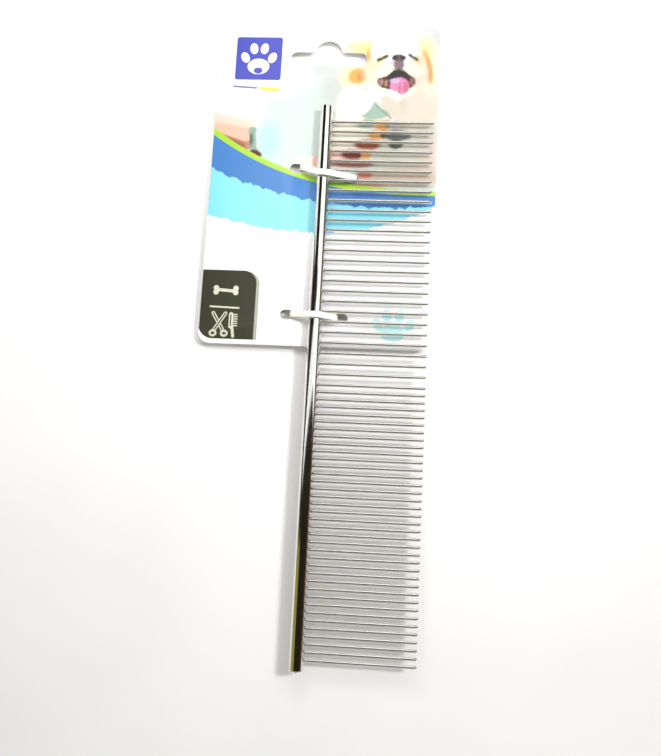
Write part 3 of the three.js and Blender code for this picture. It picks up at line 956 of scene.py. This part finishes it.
def build_strap(bm, tie):
    line = strap_line(*tie["strap"])
    count = len(line)
    section = strap_section()
    rings = []
    for i, point in enumerate(line):
        step = line[(i + 1) % count] - line[i - 1]
        normal = Vector((-step.y, step.x)).normalized()
        drift = strap_drift(tie, point.x, point.y)
        ring = []
        for across, through in section:
            offset = point + normal * through
            ring.append(bm.verts.new((offset.x, drift + across, offset.y)))
        rings.append(ring)
    bridge(bm, rings + [rings[0]])


def rounded_block(bm, centre, size, rounding, steps=4):
    """A box with rounded edges and corners, as stacked rounded outlines."""
    half = Vector(size) / 2
    levels = []
    for angle in np.radians(np.linspace(-90, 0, steps + 1)):
        levels.append((-half.z + rounding * (1 + math.sin(angle)), rounding * (1 - math.cos(angle))))
    levels += [(-z, inset) for z, inset in reversed(levels)]
    rings = []
    for z, inset in levels:
        outline = []
        radius = rounding - inset * 0.98  # never quite zero, so that no two points meet
        for sx, sy, start in CORNERS:
            corner = (sx * (half.x - rounding), sy * (half.y - rounding))
            outline += arc(corner, radius, start, start + 90, steps + 1)
        rings.append([bm.verts.new(Vector((x, y, z)) + Vector(centre)) for x, y in outline])
    bridge(bm, rings)
    bm.faces.new(rings[0])
    bm.faces.new(rings[-1])


def build_head(bm, tie):
    """The square head behind the card, with the frame round its slot and the teeth in it."""
    x = tie["head"]
    drift = strap_drift(tie, x, 0)
    length, width, height = HEAD_SIZE
    body = (length, width, height - HEAD_LIFT)
    rounded_block(bm, (x, drift, (height + HEAD_LIFT) / 2), body, HEAD_ROUNDING)
    for side in (-1, 1):
        bar_y = drift + side * (width - SIDE_BAR[1]) / 2
        rounded_block(bm, (x, bar_y, SIDE_BAR[2] / 2), SIDE_BAR, BAR_ROUNDING, DETAIL_STEPS)
        bar_x = x + side * (length - END_BAR[0]) / 2
        rounded_block(bm, (bar_x, drift, END_BAR[2] / 2), END_BAR, BAR_ROUNDING, DETAIL_STEPS)
    for along in TOOTH_PLACES:
        tooth = (x + along, drift, TOOTH_Z)
        rounded_block(bm, tooth, TOOTH_SIZE, TOOTH_ROUNDING, DETAIL_STEPS)


def build_ties():
    material = new_material("tie_nylon", nylon)
    for name, tie in TIES.items():
        def build(bm):
            build_strap(bm, tie)
            build_head(bm, tie)
        place = (SPINE_X, crossing_y(name), 0)
        add_piece(f"{name}_nylon", to_mesh(name, build), place, "card", [material], [name])


# ---------------------------------------------------------------- studio


FLOOR_HALF = 2500
FLOOR_DROP = 0.05  # the floor lies this far under the object


def build_floor():
    """A sheet of pale paper under everything."""
    def build(bm):
        sides = ((-1, -1), (1, -1), (1, 1), (-1, 1))
        bm.faces.new([bm.verts.new((x * FLOOR_HALF, y * FLOOR_HALF, 0)) for x, y in sides])

    def surface(tree, shader):
        where = object_mm(tree)
        grain = noise(tree, where, 0.6, 4.0, 0.6)
        clouds = noise(tree, where, 0.012, 2.0, 0.5)
        colour = mix_colour(tree, map_range(tree, clouds, 0.35, 0.65), linear(238, 238, 236),
                            linear(232, 232, 231))
        feed(tree, shader.inputs["Base Color"], colour)
        feed(tree, shader.inputs["Roughness"], map_range(tree, grain, 0.3, 0.7, 0.55, 0.7))
        bump(tree, shader, grain, 0.05, 0.05)

    floor = bpy.data.objects.new("floor", to_mesh("floor", build))
    scene.collection.objects.link(floor)
    floor.location = (0, 0, -FLOOR_DROP * MM)
    floor.data.materials.append(new_material("floor_paper", surface))


def add_panel(name, place, target, size, radiance, shown=True, lights=True):
    """A soft panel, sized and placed in metres, that faces target. Polished metal reflects a shown
    panel, and a panel that lights throws its light on everything else."""
    light = bpy.data.lights.new(name, "AREA")
    light.shape = "RECTANGLE"
    light.size, light.size_y = size
    light.energy = radiance * math.pi * size[0] * size[1]
    panel = bpy.data.objects.new(name, light)
    scene.collection.objects.link(panel)
    panel.location = place
    panel.rotation_euler = (Vector(target) - Vector(place)).to_track_quat("-Z", "Y").to_euler()
    panel.visible_glossy = shown
    panel.visible_diffuse = lights
    panel.visible_camera = False
    return panel


def build_lights():
    """The first four panels are the bright bands in the chrome, the other four give the light."""
    add_panel("window", (1.09, 0.66, 1.0), (1.09, 0.66, 0), (1.82, 1.02), 1.4, lights=False)
    add_panel("back_wall", (0.06, 1.2, 1.14), (0.06, 0, 0.3), (0.36, 1.8), 1.6, lights=False)
    strip = add_panel("strip", (-0.8, 0.12, 1.02), (-0.8, 0.12, 0), (2.4, 0.2), 1.1, lights=False)
    strip.rotation_euler = (0, 0, math.radians(5))
    add_panel("left_wall", (-1.5, 1.1, 0.55), (-0.5, 1.1, 0.55), (0.9, 1.0), 1.1, lights=False)
    add_panel("lamp", (0.44, 0.10, 0.60), (0, 0, 0), (0.11, 0.11), 88.0, shown=False)
    add_panel("softbox", (-0.03, 0.115, 0.17), (-0.03, 0.114, 0), (0.12, 0.12), 6.0, shown=False)
    add_panel("low_light", (-0.16, -0.2, 0.36), (-0.08, -0.1, 0), (0.3, 0.3), 0.8, shown=False)
    add_panel("pin_light", (0.1, 0.06, 0.17), (0.02, 0.055, 0), (0.1, 0.1), 3.8, shown=False)


FILL_LIGHT = (0.37, 0.352, 0.34, 1.0)  # what everything but polished metal gets from all round
BACKDROP = linear(250, 250, 249)  # what the camera sees past the floor
ROOM_TOP = linear(34, 31, 22)  # the rest is the room that polished metal reflects
ROOM_FRONT = linear(160, 156, 136)
ROOM_LEFT_NEAR, ROOM_LEFT_FAR = linear(152, 144, 76), linear(128, 110, 98)
ROOM_RIGHT_NEAR, ROOM_RIGHT_FAR = linear(100, 66, 50), linear(104, 98, 66)
ROOM_BLEND = 0.15  # height over which the lower part of the room turns into its dark top


def build_world():
    """A pale studio, which polished metal sees as a dark room with lit panels."""
    world = bpy.data.worlds.new("studio")
    scene.world = world
    world.use_nodes = True
    tree = world.node_tree
    split = tree.nodes.new("ShaderNodeSeparateXYZ")
    tree.links.new(node(tree, "TexCoord", out=0), split.inputs[0])
    across, along, height = split.outputs
    side = map_range(tree, across, -0.6, 0.6)
    on_left, on_right = (-0.11, -0.07), (0.1, 0.22)  # where near turns into far, along the comb
    left = mix_colour(tree, map_range(tree, along, *on_left), ROOM_LEFT_NEAR, ROOM_LEFT_FAR)
    right = mix_colour(tree, map_range(tree, along, *on_right), ROOM_RIGHT_NEAR, ROOM_RIGHT_FAR)
    left_height = map_range(tree, along, *on_left, 0.85, 0.3)
    right_height = map_range(tree, along, *on_right, 0.5, 0.3)
    low_end = map_range(tree, side, 0.0, 1.0, left_height, right_height)
    low_start = maths(tree, "SUBTRACT", low_end, ROOM_BLEND)
    dark = map_range(tree, height, low_start, low_end, smooth=True)
    room = mix_colour(tree, dark, mix_colour(tree, side, left, right), ROOM_TOP)
    front = map_range(tree, along, -0.3, -0.85, smooth=True)
    room = mix_colour(tree, front, room, ROOM_FRONT)
    light_path = tree.nodes.new("ShaderNodeLightPath")
    colour = mix_colour(tree, light_path.outputs["Is Glossy Ray"], FILL_LIGHT, room)
    colour = mix_colour(tree, light_path.outputs["Is Camera Ray"], colour, BACKDROP)
    feed(tree, tree.nodes["Background"].inputs["Color"], colour)


CAMERA_PLACE = (26.32, -136.78, 283.4)  # from the spine's axis, the first pin and the floor
CAMERA_RIGHT = (0.9967, 0.0508, -0.0639)
CAMERA_UP = (-0.0396, 0.9853, 0.1664)


def build_camera():
    """The camera stands over the comb's lower half and leans towards the card's top."""
    camera = bpy.data.cameras.new("camera")
    camera.lens = 40.48
    camera.sensor_width = 36.0
    camera.clip_start = 0.01
    camera.clip_end = 20.0
    holder = bpy.data.objects.new("camera", camera)
    scene.collection.objects.link(holder)
    place = Vector((SPINE_X, FIRST_PIN_Y, 0)) + Vector(CAMERA_PLACE)
    right, up = Vector(CAMERA_RIGHT), Vector(CAMERA_UP)
    back = right.cross(up).normalized()
    up = back.cross(right).normalized()
    turn = Matrix((right, up, back)).transposed().to_4x4()
    holder.matrix_world = Matrix.Translation(place * MM) @ turn
    scene.camera = holder


build_camera()
build_comb()
build_hang_card()
build_ties()
build_floor()
build_lights()
build_world()
scene.view_settings.view_transform = "Standard"
